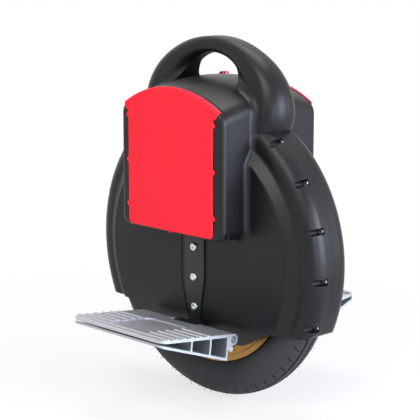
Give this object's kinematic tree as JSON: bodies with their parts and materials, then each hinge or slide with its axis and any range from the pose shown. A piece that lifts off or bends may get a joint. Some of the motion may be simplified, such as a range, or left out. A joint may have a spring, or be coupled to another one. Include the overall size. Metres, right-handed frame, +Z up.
{
  "type": "electric unicycle",
  "caption": "Self-balancing electric unicycle: motor wheel in a split round casing with side boxes and leg pads, a carry handle arch and folding extruded pedals.",
  "frame": {"origin": "on the floor under the wheel centre, in the middle plane", "axes": "+X forward, +Y to the rider's left, +Z up; the wheel turns about Y"},
  "size_m": [0.43, 0.3828, 0.505],
  "materials": {
    "tyre_rubber": "satin",
    "tube_rubber": "matte",
    "gold_alloy": "anodised",
    "bright_steel": "bright",
    "magnet_steel": "plated",
    "lamination_steel": "matte",
    "copper_wire": "enamelled",
    "plain_alloy": "anodised",
    "black_shell": "satin",
    "red_pad": "satin",
    "grip_rubber": "matte",
    "black_steel": "satin",
    "red_button": "gloss",
    "black_gloss": "gloss",
    "cap_rubber": "matte",
    "nylon": "matte",
    "battery_wrap": "gloss",
    "board_laminate": "matte"
  },
  "bodies": {
    "chassis": {"axle": "bright_steel", "stator_carrier": "plain_alloy", "stator_core": "lamination_steel", "stator_coils": "copper_wire", "left_shell": "black_shell", "right_shell": "black_shell", "shell_screws": "bright_steel", "carry_handle": "black_shell", "handle_grip": "grip_rubber", "left_lid": "black_shell", "right_lid": "black_shell", "left_pad": "red_pad", "right_pad": "red_pad", "left_hanger": "black_steel", "right_hanger": "black_steel", "left_hanger_screws": "bright_steel", "right_hanger_screws": "bright_steel", "left_hinge_pin": "bright_steel", "right_hinge_pin": "bright_steel", "left_hinge_washers": "nylon", "right_hinge_washers": "nylon", "button_bezel": "black_gloss", "charge_socket": "bright_steel", "battery_pack": "battery_wrap", "control_board": "board_laminate", "board_capacitors": "black_gloss", "heat_sink": "plain_alloy", "motor_cable": "tube_rubber"},
    "wheel": {"tyre": "tyre_rubber", "inner_tube": "tube_rubber", "tyre_valve": "bright_steel", "wheel_rim": "gold_alloy", "rotor_magnets": "magnet_steel", "left_motor_cover": "gold_alloy", "right_motor_cover": "gold_alloy", "motor_cover_screws": "bright_steel", "wheel_bearings": "bright_steel"},
    "left_pedal": {"left_pedal": "plain_alloy"},
    "right_pedal": {"right_pedal": "plain_alloy"},
    "button": {"power_button": "red_button"},
    "cap": {"charge_cap": "cap_rubber"}
  },
  "joints": [
    {"name": "wheel_spin", "type": "hinge", "parent": "chassis", "child": "wheel", "pos_m": [0, 0, 0.203], "axis": [0, 1, 0], "continuous": true},
    {"name": "left_pedal_fold", "type": "hinge", "parent": "chassis", "child": "left_pedal", "pos_m": [0, 0.061, 0.1055], "axis": [1, 0, 0], "range_deg": [0, 83]},
    {"name": "right_pedal_fold", "type": "hinge", "parent": "chassis", "child": "right_pedal", "pos_m": [0, -0.061, 0.1055], "axis": [-1, 0, 0], "range_deg": [0, 83]},
    {"name": "power_button_press", "type": "slide", "parent": "chassis", "child": "button", "axis": [0.1947, -0.1557, -0.9684], "range_m": [0, 0.0025], "stiffness_N_per_m": 500, "springref_m": -0.001},
    {"name": "charge_cap_flip", "type": "hinge", "parent": "chassis", "child": "cap", "pos_m": [0.0606, 0.06644, 0.43778], "axis": [-0.9484, 0.0293, 0.3158], "range_deg": [0, 110]}
  ]
}
